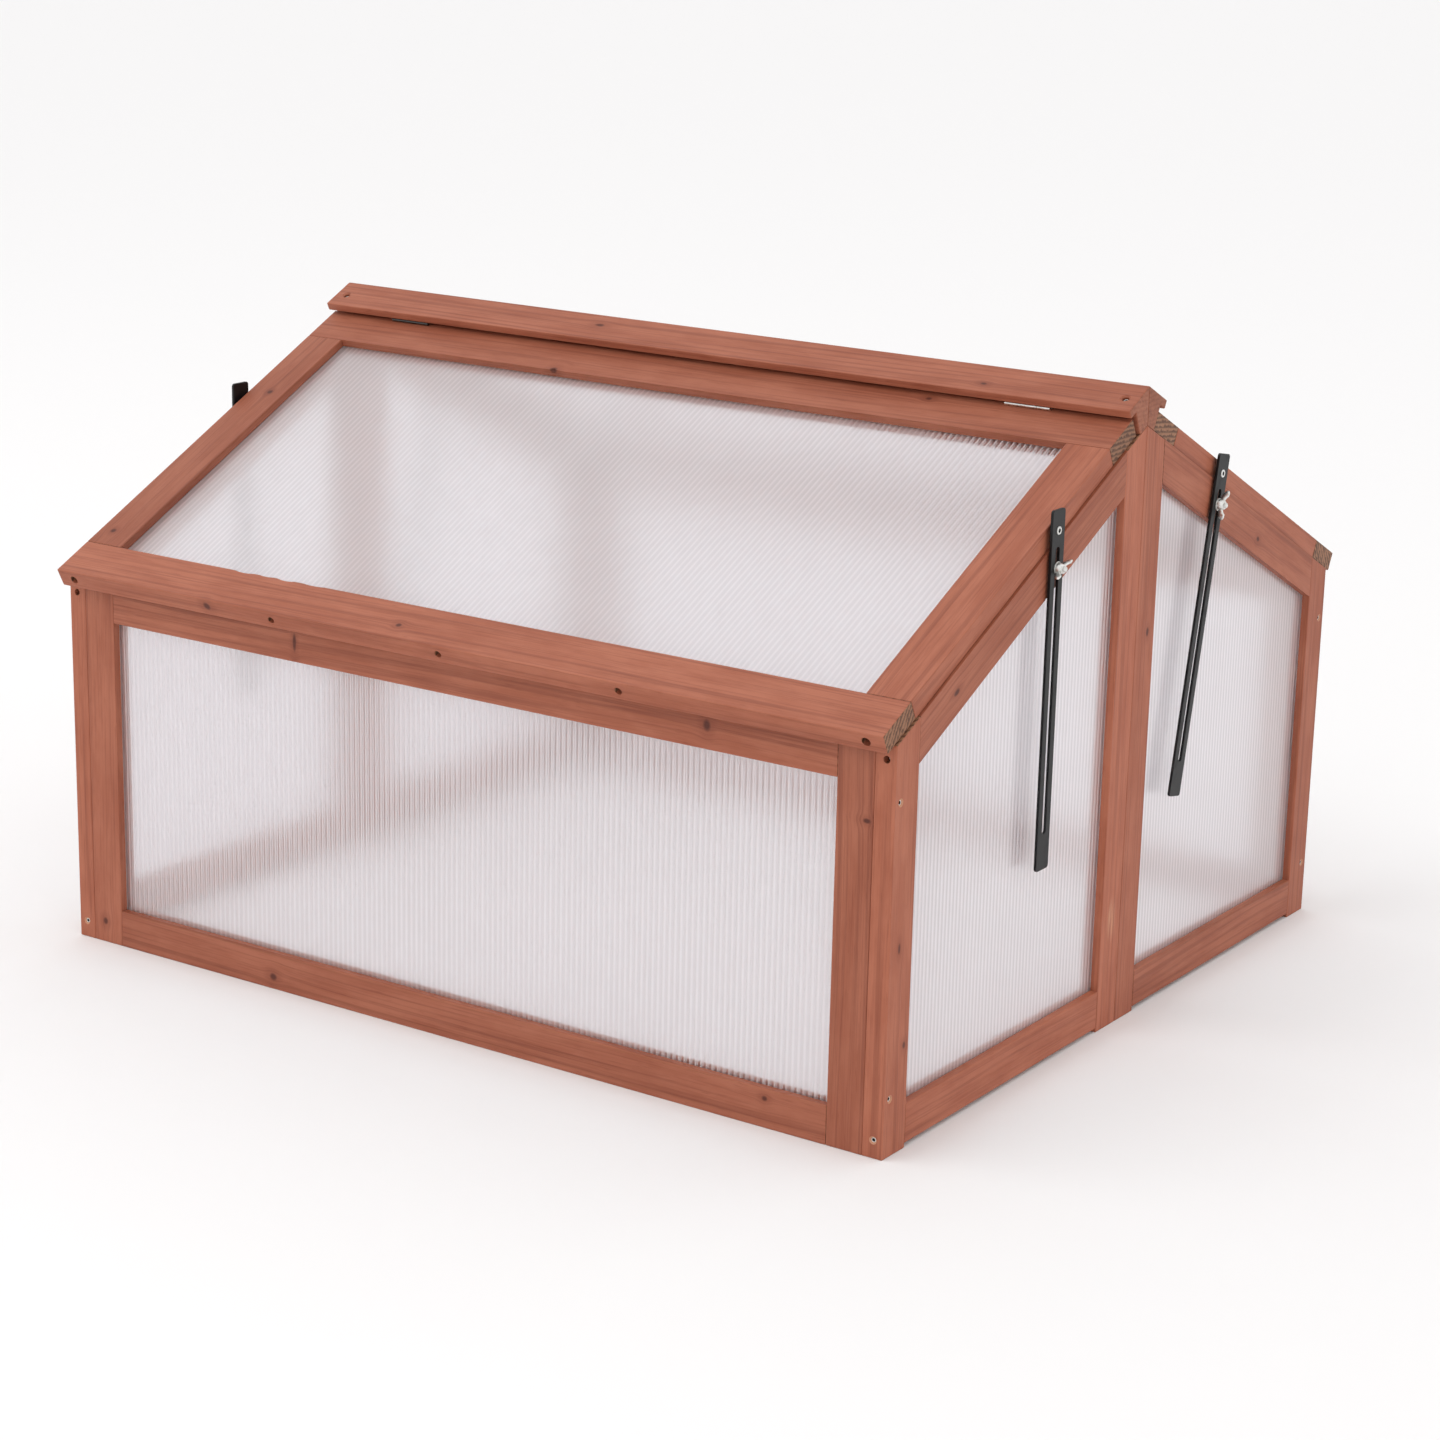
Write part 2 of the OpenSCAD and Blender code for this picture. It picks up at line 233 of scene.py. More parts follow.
# %% Node helpers
class Nodes:
    """Small shorthand for a material's node tree: each call adds a node, links its inputs and returns
    the wanted output."""

    def __init__(self, name):
        self.material = bpy.data.materials.new(name)
        self.material.use_nodes = True
        self.tree = self.material.node_tree
        self.shader = self.tree.nodes["Principled BSDF"]
        self.out = self.tree.nodes["Material Output"]

    def put(self, node, socket, value):
        if isinstance(value, bpy.types.NodeSocket):
            self.tree.links.new(value, node.inputs[socket])
        elif value is not None:
            node.inputs[socket].default_value = value

    def attribute(self, name, output="Vector"):
        node = self.tree.nodes.new("ShaderNodeAttribute")
        node.attribute_name = name
        return node.outputs[output]

    def maths(self, operation, a, b=None):
        node = self.tree.nodes.new("ShaderNodeMath")
        node.operation = operation
        self.put(node, 0, a)
        self.put(node, 1, b)
        return node.outputs[0]

    def vector(self, operation, a, b=None, output=0):
        node = self.tree.nodes.new("ShaderNodeVectorMath")
        node.operation = operation
        self.put(node, 0, a)
        self.put(node, 1, b)
        return node.outputs[output]

    def split(self, vector):
        node = self.tree.nodes.new("ShaderNodeSeparateXYZ")
        self.put(node, 0, vector)
        return node.outputs[0], node.outputs[1], node.outputs[2]

    def join(self, x, y, z):
        node = self.tree.nodes.new("ShaderNodeCombineXYZ")
        for socket, value in enumerate((x, y, z)):
            self.put(node, socket, value)
        return node.outputs[0]

    def noise(self, vector, scale=1.0, detail=2.0, roughness=0.5):
        node = self.tree.nodes.new("ShaderNodeTexNoise")
        self.put(node, "Vector", vector)
        node.inputs["Scale"].default_value = scale
        node.inputs["Detail"].default_value = detail
        node.inputs["Roughness"].default_value = roughness
        return node.outputs[0]

    def ramp(self, value, low, high, to_low=0.0, to_high=1.0, smooth=True):
        node = self.tree.nodes.new("ShaderNodeMapRange")
        node.interpolation_type = "SMOOTHSTEP" if smooth else "LINEAR"
        self.put(node, "Value", value)
        node.inputs["From Min"].default_value = low
        node.inputs["From Max"].default_value = high
        node.inputs["To Min"].default_value = to_low
        node.inputs["To Max"].default_value = to_high
        return node.outputs[0]

    def mix(self, share, a, b, blend="MIX"):
        node = self.tree.nodes.new("ShaderNodeMix")
        node.data_type = "RGBA"
        node.blend_type = blend
        self.put(node, 0, share)
        self.put(node, 6, a if isinstance(a, bpy.types.NodeSocket) else (*a, 1))
        self.put(node, 7, b if isinstance(b, bpy.types.NodeSocket) else (*b, 1))
        return node.outputs[2]

    def streaks(self, vector, stretch, detail=1.0, roughness=0.5):
        """Noise over the vector multiplied by stretch: a small factor draws it out along that axis."""
        return self.noise(self.vector("MULTIPLY", vector, stretch), detail=detail, roughness=roughness)

    def stain(self, colour, mask, share, other):
        """The colour with at most this share of the other one, where the mask is 1."""
        return self.mix(self.maths("MULTIPLY", mask, share), colour, other)

    def bump(self, height, distance, strength=1.0):
        node = self.tree.nodes.new("ShaderNodeBump")
        node.inputs["Strength"].default_value = strength
        node.inputs["Distance"].default_value = distance
        self.put(self.shader, "Normal", node.outputs[0])
        self.put(node, "Height", height)

    def object_place(self):
        return self.tree.nodes.new("ShaderNodeTexCoord").outputs["Object"]

    def plain(self, kind, colour):
        """A shader of one colour: Diffuse, Translucent or Transparent."""
        node = self.tree.nodes.new("ShaderNodeBsdf" + kind)
        node.inputs["Color"].default_value = (*colour, 1)
        return node

    def blend(self, share, first, second):
        """A shader that is the first one, with this share of the second."""
        node = self.tree.nodes.new("ShaderNodeMixShader")
        self.put(node, 0, share)
        self.tree.links.new(first.outputs[0], node.inputs[1])
        self.tree.links.new(second.outputs[0], node.inputs[2])
        return node

    def shine(self, **sockets):
        for name, value in sockets.items():
            self.put(self.shader, name.replace("_", " "), value)


# %% The stained wood
WOOD_PALE = (0.43, 0.142, 0.079)
WOOD_BODY = (0.335, 0.093, 0.046)
WOOD_DARK = (0.19, 0.043, 0.021)
WOOD_KNOT = (0.085, 0.018, 0.010)
WOOD_BARE = (0.62, 0.33, 0.20)
END_PALE = (0.30, 0.150, 0.080)
END_DARK = (0.080, 0.036, 0.018)
KNOT_PUSH = 0.0045                     # metres that the grain moves aside round a knot
DRIFT = 0.016                          # metres that it wanders along the stick
HEART_ACROSS, HEART_THROUGH = 0.008, -0.031      # where the rings of the end faces have their middle
RINGS_PER_METRE = 1500.0 / (2 * math.pi)


def knots_of(n, grain):
    """The sideways push of the grain, the knots and their dark halos. Each knot attribute is the
    place relative to one knot, in knot sizes; the push falls off as exp(-0.35 distance^2)."""
    push, knot, halo = 0.0, 0.0, 0.0
    for attribute in ("knot_a", "knot_b"):
        place = n.attribute(attribute)
        wobble = n.noise(grain, scale=90.0, detail=1.0)
        distance = n.maths("ADD", n.vector("LENGTH", place, output=1), n.maths("MULTIPLY", wobble, 0.35))
        _, aside, _ = n.split(place)
        near = n.maths("EXPONENT", n.maths("MULTIPLY", n.maths("POWER", distance, 2.0), -0.35))
        push = n.maths("ADD", push, n.maths("MULTIPLY", n.maths("MULTIPLY", aside, near), -KNOT_PUSH))
        knot = n.maths("MAXIMUM", knot, n.ramp(distance, 0.95, 0.45))
        halo = n.maths("MAXIMUM", halo, n.ramp(distance, 2.2, 0.9))
    return push, knot, halo


def end_grain(n, grain):
    """The colour of a cut end: sine arcs about the heart, mostly broken up by noise."""
    _, across, through = n.split(grain)
    across, through = n.maths("SUBTRACT", across, HEART_ACROSS), n.maths("SUBTRACT", through, HEART_THROUGH)
    heart = n.vector("LENGTH", n.join(0.0, across, through), output=1)
    rough = n.streaks(grain, (170.0, 170.0, 170.0), detail=4.0, roughness=0.7)
    turns = n.maths("MULTIPLY", heart, 2 * math.pi * RINGS_PER_METRE)
    arcs = n.ramp(n.maths("SINE", n.maths("ADD", turns, n.maths("MULTIPLY", rough, 9.0))), -1.0, 1.0)
    share = n.maths("ADD", n.maths("MULTIPLY", arcs, 0.22), n.maths("MULTIPLY", rough, 0.78))
    return n.mix(n.ramp(share, 0.36, 0.64), END_DARK, END_PALE)


def stained_wood(name, end_share):
    """Stained softwood. The grain vector is stretched along the stick before it feeds the noises, so
    that they draw streaks; around a knot the across coordinate is pushed outwards, so that the
    streaks flow round it. End faces take end grain by end_share instead."""
    n = Nodes(name)
    grain = n.attribute("grain")
    tone = n.attribute("tone", "Fac")
    end_face = n.attribute("end_face", "Fac")
    along, across, through = n.split(grain)
    push, knot, halo = knots_of(n, grain)
    drift = n.streaks(grain, (2.2, 14.0, 14.0))
    bent = n.maths("ADD", n.maths("ADD", across, push), n.maths("MULTIPLY", drift, DRIFT))
    flow = n.join(along, bent, through)

    rings = n.streaks(flow, (1.6, 230.0, 120.0), detail=2.0, roughness=0.6)
    late = n.ramp(rings, 0.48, 0.66)
    strands = n.streaks(flow, (9.0, 620.0, 620.0), detail=2.0, roughness=0.6)
    fibre = n.streaks(flow, (22.0, 1500.0, 1500.0), detail=3.0, roughness=0.65)
    flecks = n.ramp(n.streaks(flow, (60.0, 900.0, 900.0)), 0.62, 0.8)
    cloud = n.streaks(grain, (11.0, 45.0, 45.0), detail=4.0, roughness=0.62)

    colour = n.mix(n.ramp(cloud, 0.30, 0.72), WOOD_BODY, WOOD_PALE)
    colour = n.stain(colour, late, 0.48, WOOD_DARK)
    colour = n.stain(colour, n.ramp(strands, 0.52, 0.72), 0.42, WOOD_PALE)
    colour = n.stain(colour, n.ramp(strands, 0.48, 0.30), 0.40, WOOD_DARK)
    colour = n.stain(colour, n.ramp(fibre, 0.35, 0.75), 0.25, WOOD_PALE)
    colour = n.stain(colour, flecks, 0.35, WOOD_DARK)
    colour = n.stain(colour, halo, 0.30, WOOD_DARK)
    colour = n.stain(colour, knot, 0.9, WOOD_KNOT)

    # bare wood: rubbed places where the stain has worn off, and the inside of drilled holes
    rub = n.vector("LENGTH", n.attribute("worn"), output=1)
    rubbed = n.maths("MULTIPLY", n.ramp(rub, 1.3, 0.2), n.ramp(fibre, 0.38, 0.60))
    colour = n.stain(colour, rubbed, 0.75, WOOD_BARE)
    colour = n.stain(colour, n.attribute("cut", "Fac"), 0.7, WOOD_BARE)
    colour = n.stain(colour, end_face, end_share, end_grain(n, grain))
    colour = n.mix(1.0, colour, n.join(tone, tone, tone), blend="MULTIPLY")

    height = n.maths("ADD", n.maths("MULTIPLY", fibre, 0.6), n.maths("MULTIPLY", late, 0.5))
    height = n.maths("SUBTRACT", height, n.maths("MULTIPLY", knot, 0.3))
    n.shine(Base_Color=colour, Roughness=n.ramp(fibre, 0.3, 0.8, 0.50, 0.66, smooth=False))
    n.shine(Specular_IOR_Level=0.35)
    n.bump(height, 0.22 * MM, 0.7)
    return n.material


wood = {
    "rail_wood": stained_wood("rail_wood", 0.9),
    "upright_wood": stained_wood("upright_wood", 0.9),
    "ridge_wood": stained_wood("ridge_wood", 0.25),
}
print("wood finishes:", sorted(wood))

# %% [markdown]
# ## The sticks
# The CAD sticks have the right shapes, down to their grooves and sloping ends, but their arrises are
# knife-sharp and their screw holes are missing. A stick could be built afresh as a swept profile, but
# its stopped grooves and slanted ends are already right in the CAD mesh. So each stick is a merged
# copy of its node, with a bevel on its arrises and a boolean that drills its holes and knocks out its
# chips. The copy then stands for the node.


# %% Merged copies and lathed shapes
def round_edges(piece, width, angle):
    """A bevel of two segments on edges that turn by more than angle degrees."""
    bevel = piece.modifiers.new("arris", "BEVEL")
    bevel.width = width
    bevel.segments = 2
    bevel.limit_method = "ANGLE"
    bevel.angle_limit = math.radians(angle)


def merged_copy(node):
    """The node's mesh with its loose triangles joined into whole flat faces."""
    mesh = bpy.data.meshes.new(node)
    edit = bmesh.new()
    edit.from_mesh(frame["nodes"][node].data)
    bmesh.ops.remove_doubles(edit, verts=edit.verts, dist=1e-6)
    bmesh.ops.dissolve_limit(edit, angle_limit=math.radians(0.5), verts=edit.verts, edges=edit.edges)
    edit.to_mesh(mesh)
    edit.free()
    return mesh


def square_to(axis):
    """Two unit vectors square to axis and to each other, as rows."""
    axis = np.asarray(axis, float)
    start = np.array([0.0, 0.0, 1.0]) if abs(axis[2]) < 0.9 else np.array([1.0, 0.0, 0.0])
    first = np.cross(axis, start)
    first /= np.linalg.norm(first)
    return np.array([first, np.cross(axis, first)])


def lathe(place, axis, profile, sides=20):
    """Points and faces of a solid of revolution. The profile is a list of (distance along the axis,
    radius); point (i, j) is place + axis * distance_i + radius_i * (cos a_j * u + sin a_j * v).
    A radius of 0 at either end closes it with a point."""
    profile = np.asarray(profile, float)
    u, v = square_to(axis)
    angle = np.linspace(0.0, 2 * math.pi, sides, endpoint=False)
    round_ = np.cos(angle)[:, None] * u + np.sin(angle)[:, None] * v
    points = (
        np.asarray(place)
        + profile[:, 0][:, None, None] * np.asarray(axis, float)
        + profile[:, 1][:, None, None] * round_
    ).reshape(-1, 3)
    return points, grid_faces(len(profile), sides)


def profile_at(start, rows):
    """A lathe profile in metres, from rows of (distance past start, radius) in millimetres."""
    return [(start + past * MM, radius * MM) for past, radius in rows]


def solid_from(parts, name):
    """One mesh from several (points, faces) parts, with doubles merged and faces turned outwards."""
    count, points, faces = 0, [], []
    for part_points, part_faces in parts:
        points.append(part_points)
        faces.append(part_faces + count)
        count += len(part_points)
    mesh = mesh_from(name, np.concatenate(points), faces)
    edit = bmesh.new()
    edit.from_mesh(mesh)
    bmesh.ops.remove_doubles(edit, verts=edit.verts, dist=1e-7)
    bmesh.ops.recalc_face_normals(edit, faces=edit.faces)
    edit.to_mesh(mesh)
    edit.free()
    return mesh


# %% Drill bits and chips
HOLE_R = 2.2 * MM
SINK_R = 3.6 * MM
SINK_DEPTH = 1.4 * MM
HOLE_DEPTH = 12 * MM
PROUD = 2 * MM               # how far a drill starts outside the wood


def drill(place, axis, radius=HOLE_R, sink=0.0):
    """The space that a drill takes, as a lathed plug: it starts outside the face at place and goes in
    along -axis. With a sink it opens out to that radius at the face."""
    mouth = [(-PROUD, sink + PROUD), (0, sink), (SINK_DEPTH, radius)] if sink else [(-PROUD, radius)]
    return lathe(place, -np.asarray(axis, float), [(-PROUD, 0), *mouth, (HOLE_DEPTH, radius), (HOLE_DEPTH, 0)])


def chip(place, length, depth):
    """A torn-out chip: an ellipsoid of revolution about X, with these half sizes along and across it."""
    angle = np.linspace(0.0, math.pi, 9)
    profile = np.column_stack([-np.cos(angle) * length, np.sin(angle) * depth])
    profile[[0, -1], 1] = 0
    return lathe(place, (1, 0, 0), profile, 12)


# %% [markdown]
# Where the screws are. Each end frame is screwed to the front and back panels through its stiles, the
# ridge board is screwed down on the posts, and the lids' eave rails have a row of empty holes along
# their edge. A wide countersink shows its screw; in a deep plain hole the screw is only a glint.

# %% Screw places
lid_s = {side: roof_reach(f"{word}_lid_eave_rail", side) for side, word in ((-1, "front"), (1, "back"))}
ridge_n = roof_reach("ridge_front_half", -1)[3]
SCREW_EDGE = 9 * MM          # from the corner of the end frame to the screws in its edges
LOW_FRONT, HIGH_FRONT = 16 * MM, 338 * MM
LOW_END, HIGH_END = 51 * MM, 302 * MM
PLAIN_R, RIDGE_SINK_R = 3.2 * MM, 4.6 * MM
FLUSH, RIDGE_DEPTH, SUNK = 1.3 * MM, 3.0 * MM, 7 * MM        # of a screw's face below the wood
RIDGE_SCREW_X, RIDGE_SCREW_S = 0.437, 6 * MM
EAVE_HOLES = {-0.430: 4.0, -0.189: 3.3, 0.0: 3.5, 0.190: 3.6, 0.430: 4.2}     # x: radius in millimetres

drilled = {}                 # node: list of cutting shapes
screws = {}                  # body: list of (place, axis, depth)


def add_hole(node, place, axis, screw_depth=None, **kind):
    """Drills one hole in a stick and, where screw_depth is given, puts a screw that deep into it."""
    drilled.setdefault(node, []).append(drill(place, axis, **kind))
    if screw_depth is not None:
        screw = (np.asarray(place), np.asarray(axis, float), screw_depth)
        screws.setdefault(body_of_node[node], []).append(screw)


for end, end_word in ((-1, "left"), (1, "right")):
    for side, side_word in ((-1, "front"), (1, "back")):
        stile = f"{end_word}_{side_word}_stile"
        edge_x, edge_y = end * (half_l - SCREW_EDGE), side * (half_w - SCREW_EDGE)
        add_hole(stile, (edge_x, side * half_w, LOW_FRONT), (0, side, 0), FLUSH, sink=SINK_R)
        add_hole(stile, (edge_x, side * half_w, HIGH_FRONT), (0, side, 0), SUNK, radius=PLAIN_R)
        for z in (LOW_END, HIGH_END):
            add_hole(stile, (end * half_l, edge_y, z), (end, 0, 0), FLUSH, sink=SINK_R)
        _, _, out = roof_frame(side)
        ridge_place = on_roof(side, end * RIDGE_SCREW_X, RIDGE_SCREW_S, ridge_n)
        add_hole(f"ridge_{side_word}_half", ridge_place, out, RIDGE_DEPTH, radius=PLAIN_R, sink=RIDGE_SINK_R)
for side, side_word in ((-1, "front"), (1, "back")):
    s0, s1, n0, n1 = lid_s[side]
    _, down, _ = roof_frame(side)
    for x, radius in EAVE_HOLES.items():
        add_hole(f"{side_word}_lid_eave_rail", on_roof(side, x, s1, (n0 + n1) / 2), down, radius=radius * MM)
print("drilled sticks:", len(drilled), "screws:", sum(len(s) for s in screws.values()))

# %% [markdown]
# Small damage gives the sticks away as real ones: a torn knot on the lower edge of the front lid's top
# rail and a wavy arris on its eave rail.

# %% Chips
TORN_X = -0.144
# of each chip in the arris: x, and its half length and depth in millimetres
EAVE_CHIPS = ((-0.252, 13, 1.7), (-0.226, 9, 1.2), (-0.203, 11, 1.8), (-0.170, 14, 1.3))

_, rail_s, _, rail_n = roof_reach("front_lid_top_rail", -1)
torn = chip(on_roof(-1, TORN_X, rail_s + 0.3 * MM, rail_n), 3.2 * MM, 2.4 * MM)
drilled.setdefault("front_lid_top_rail", []).append(torn)
arris_s, _, _, arris_n = lid_s[-1]
for x, length, depth in EAVE_CHIPS:
    place = on_roof(-1, x, arris_s - 0.4 * MM, arris_n + 0.2 * MM)
    torn = chip(place, length * MM, (depth + 0.6) * MM)
    drilled.setdefault("front_lid_eave_rail", []).append(torn)
print("sticks with chips:", [node for node in drilled if node.startswith("front_lid")])

# %% [markdown]
# The grain runs along each stick. Nodes that hold two mirrored sticks get their axes by the side that
# a point lies on. The attribute's origin is moved by a seeded random amount for each stick, so no two
# sticks show the same piece of wood.


# %% Grain axes
def grain_axes(node, points):
    """For each point the unit vectors along and across its stick, as two arrays of shape (n, 3)."""
    side = np.where(points[:, 1] < 0, -1.0, 1.0)
    zero, one = np.zeros(len(points)), np.ones(len(points))
    down = np.stack([zero, side * math.cos(slope), -one * math.sin(slope)], 1)
    x, y, z = (np.tile(v, (len(points), 1)) for v in np.eye(3))
    if "rafter" in node or ("lid" in node and "stile" in node):
        return down, (x if "lid" in node else np.cross(x, down))
    if "lid" in node or "ridge" in node:
        return x, down
    if "stile" in node or "post" in node:
        return z, (x if node in ("front_stiles", "back_stiles") else y)
    if "bottom_rails" in node:
        return y, z
    return x, z


FAR_MARK = ((50.0, 50.0, 50.0), 1.0, 1.0)       # stands for a knot or worn place that isn't there
START_SHARES = np.array([1.0, 0.05, 0.03])      # of a random start's reach, along, across and through
CUT_DEPTHS = (-6 * MM, -0.05 * MM)              # where a face inside a drilled hole counts as cut


def stick_of_point(node, points):
    """0 or 1 for each point: which of a node's two sticks it belongs to; all 0 where it has one."""
    if "bottom_rails" in node or "rafters" in node:
        return (points[:, 1] > 0).astype(int)
    if node in ("front_stiles", "back_stiles"):
        return (points[:, 0] > 0).astype(int)
    return np.zeros(len(points), int)


def flow_attributes(mesh, node, own_look, seed):
    """Writes the stick's own coordinates and marks to the mesh: grain = (p . along, p . across,
    p . through) + a random start; knot = (p - knot) / size in those axes; end_face = 1 on faces
    whose normal runs along the stick; cut = 1 on the faces of holes that hold a screw."""
    points = vertices_of(mesh)
    along, across = grain_axes(node, points)
    axes = [along, across, np.cross(along, across)]
    own = np.stack([(points * a).sum(1) for a in axes], 1)
    group = stick_of_point(node, points)
    random = np.random.default_rng(seed)
    start = random.uniform(-3.0, 3.0, (2, 3)) * START_SHARES
    tones = own_look.get("tone", 1.0) * random.uniform(0.94, 1.06, 2)
    write_attribute(mesh, "grain", own + start[group], kind="FLOAT_VECTOR")
    write_attribute(mesh, "tone", tones[group])

    knot_a, knot_b = (own_look.get("knots", []) + [FAR_MARK, FAR_MARK])[:2]
    marks = {"knot_a": knot_a, "knot_b": knot_b, "worn": own_look.get("worn", FAR_MARK)}
    for name, (place, length, width) in marks.items():
        offset = points - np.asarray(place)
        relative = np.stack([(offset * a).sum(1) for a in axes], 1)
        write_attribute(mesh, name, relative / np.array([length, width, max(length, width)]), kind="FLOAT_VECTOR")

    centre = of_faces(mesh, "center")
    face_along, _ = grain_axes(node, centre)
    write_attribute(mesh, "end_face", np.abs((of_faces(mesh, "normal") * face_along).sum(1)) > 0.8, "FACE")
    cut = np.zeros(len(centre), bool)
    for place, axis, _ in screws.get(body_of_node[node], []):
        depth, away = from_axis(centre, place, axis)
        cut |= (away < SINK_R) & (depth > CUT_DEPTHS[0]) & (depth < CUT_DEPTHS[1])
    write_attribute(mesh, "cut", cut, "FACE")


# %% [markdown]
# Knots are placed one by one, and worn places the same way. Everything else about a stick is the same, so
# a table of looks holds only the exceptions: up to two knots, a worn place and a tone, which
# multiplies the colour.

# %% Knots and rubbed places
FRONT_Y, BACK_Y = -half_w, half_w
LID_TOP, RIDGE_TOP = 0.0186, 0.031              # n of the upper faces of the lids and the ridge board
EAVE_EDGE = lid_s[-1][1]


def mark(x, y, z, length, width):
    """A knot or worn place: its middle, and its half length and half width in millimetres."""
    return (x, y, z), length * MM, width * MM


def roof_mark(side, x, s, n, length, width):
    """The same, with its middle given in the axes of one side of the roof."""
    return mark(*on_roof(side, x, s, n), length, width)


def look(*knots, **more):
    """One row of the table of looks."""
    return {"knots": list(knots), **more}


looks = {
    "front_stiles": look(mark(-0.4167, FRONT_Y, 0.021, 6, 5), mark(0.4246, FRONT_Y, 0.2843, 3.5, 6), tone=0.94),
    "front_top_rail": look(mark(-0.1745, FRONT_Y, 0.333, 3.5, 15), mark(0.2692, FRONT_Y, 0.3358, 6, 9), tone=0.96),
    "front_bottom_rail": look(mark(-0.205, FRONT_Y, 0.012, 7, 6), mark(0.335, FRONT_Y, 0.026, 5, 4), tone=0.97),
    "right_front_stile": look(mark(half_l, -0.385, 0.178, 8, 3), mark(half_l, -0.372, 0.092, 6, 4)),
    "right_front_post": look(worn=mark(half_l, -0.017, 0.102, 20, 8), tone=1.04),
    "right_back_post": look(mark(half_l, 0.022, 0.36, 7, 4), tone=0.95),
    "right_rafters": look(mark(half_l, 0.2389, 0.4068, 6, 4), mark(half_l, -0.31, 0.375, 8, 4), tone=0.98),
    "front_lid_left_stile": look(
        roof_mark(-1, -0.4233, 0.1587, LID_TOP, 5, 5), roof_mark(-1, -0.432, 0.392, LID_TOP, 5, 5), tone=0.82
    ),
    "front_lid_right_stile": look(tone=0.96),
    "front_lid_eave_rail": look(
        roof_mark(-1, -0.052, 0.4409, LID_TOP, 5, 4), roof_mark(-1, -0.2648, EAVE_EDGE, 0.011, 7, 6)
    ),
    "front_lid_top_rail": look(
        roof_mark(-1, -0.144, 0.0625, LID_TOP, 7, 6), roof_mark(-1, 0.25, 0.028, LID_TOP, 6, 4), tone=0.94
    ),
    "ridge_front_half": look(
        roof_mark(-1, -0.1265, 0.0008, RIDGE_TOP, 9, 4), roof_mark(-1, 0.30, 0.012, RIDGE_TOP, 6, 3), tone=0.95
    ),
    "ridge_back_half": look(roof_mark(1, 0.2, 0.01, RIDGE_TOP, 8, 4), tone=0.90),
    "back_top_rail": look(mark(0.11, BACK_Y, 0.33, 6, 10)),
    "back_stiles": look(mark(0.41, BACK_Y, 0.12, 8, 6), mark(-0.41, BACK_Y, 0.24, 8, 6)),
    "back_lid_top_rail": look(roof_mark(1, -0.21, 0.04, LID_TOP, 8, 6)),
    "back_lid_eave_rail": look(roof_mark(1, 0.22, 0.44, LID_TOP, 10, 6)),
    "left_rafters": look(mark(-half_l, -0.2, 0.42, 8, 5), mark(-half_l, 0.26, 0.40, 7, 5)),
}
ARRIS = 0.9 * MM


def finish_stick(node, seed):
    """A stick that stands for its node: merged copy, bevelled arrises, drilled holes, own grain."""
    piece = link(merged_copy(node), node + "_wood")
    round_edges(piece, ARRIS, 25)
    cutter = None
    if node in drilled:
        cutter = link(solid_from(drilled[node], "cutter"), "cutter")
        holes = piece.modifiers.new("holes", "BOOLEAN")
        holes.operation = "DIFFERENCE"
        holes.object = cutter
        holes.solver = "EXACT"
    ready = piece.evaluated_get(bpy.context.evaluated_depsgraph_get())
    mesh = bpy.data.meshes.new_from_object(ready)
    piece.modifiers.clear()
    piece.data = mesh
    mesh.name = piece.name
    if cutter is not None:
        bpy.data.objects.remove(cutter)
    mesh.materials.clear()
    slot = slot_of[node]
    mesh.materials.append(wood[slot])
    mesh.polygons.foreach_set("material_index", np.zeros(len(mesh.polygons), np.int32))
    flow_attributes(mesh, node, looks.get(node, {}), seed)
    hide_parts(node)
    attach(piece, body_of_node[node])
    return piece


# %% Finish every stick
slot_of = {s["node"]: s["material_slot"] for s in frame["record"]["subparts"]}
stick_nodes = [node for node in sorted(frame["nodes"]) if slot_of[node] in wood]
sticks = {node: finish_stick(node, seed) for seed, node in enumerate(stick_nodes)}
print("sticks:", len(sticks), "faces:", sum(len(s.data.polygons) for s in sticks.values()))

# %% [markdown]
# ## Twin-wall sheets
# A twin-wall sheet is extruded: two thin skins joined by upright ribs a few millimetres apart, with
# air between. A flat plate with painted stripes would not do, because what is seen between the ribs
# changes with the slant of the view. So each sheet is built as it is extruded: one outer shell, and
# inside it one closed air channel for each flute. The flutes run up the walls and down the roof.

# %% Channel and shell shapes
SKIN = 0.40 * MM
RIB = 0.35 * MM
FLUTE = 5.7 * MM
BOX_FACES = np.array([[0, 1, 2, 3], [4, 7, 6, 5], [0, 4, 5, 1], [1, 5, 6, 2], [2, 6, 7, 3], [3, 7, 4, 0]])
SIDE_OF_AIR = [1, 1, 1, 2, 1, 2]     # a channel's faces: 1 on a skin or an end, 2 on a rib


def prism(u0, u1, low, high0, high1, n0, n1):
    """Eight corners of upright boxes with a slanting top: arrays of shape (count, 8, 3) in (u, v, n),
    where the top is high0 at u0 and high1 at u1."""
    u0, u1, high0, high1 = np.broadcast_arrays(*(np.atleast_1d(a) for a in (u0, u1, high0, high1)))
    low, n0, n1 = (np.broadcast_to(a, u0.shape) for a in (low, n0, n1))
    floor_ring = [(u0, low, n0), (u1, low, n0), (u1, low, n1), (u0, low, n1)]
    top_ring = [(u0, high0, n0), (u1, high1, n0), (u1, high1, n1), (u0, high0, n1)]
    return np.stack([np.stack(corner, -1) for corner in floor_ring + top_ring], 1)


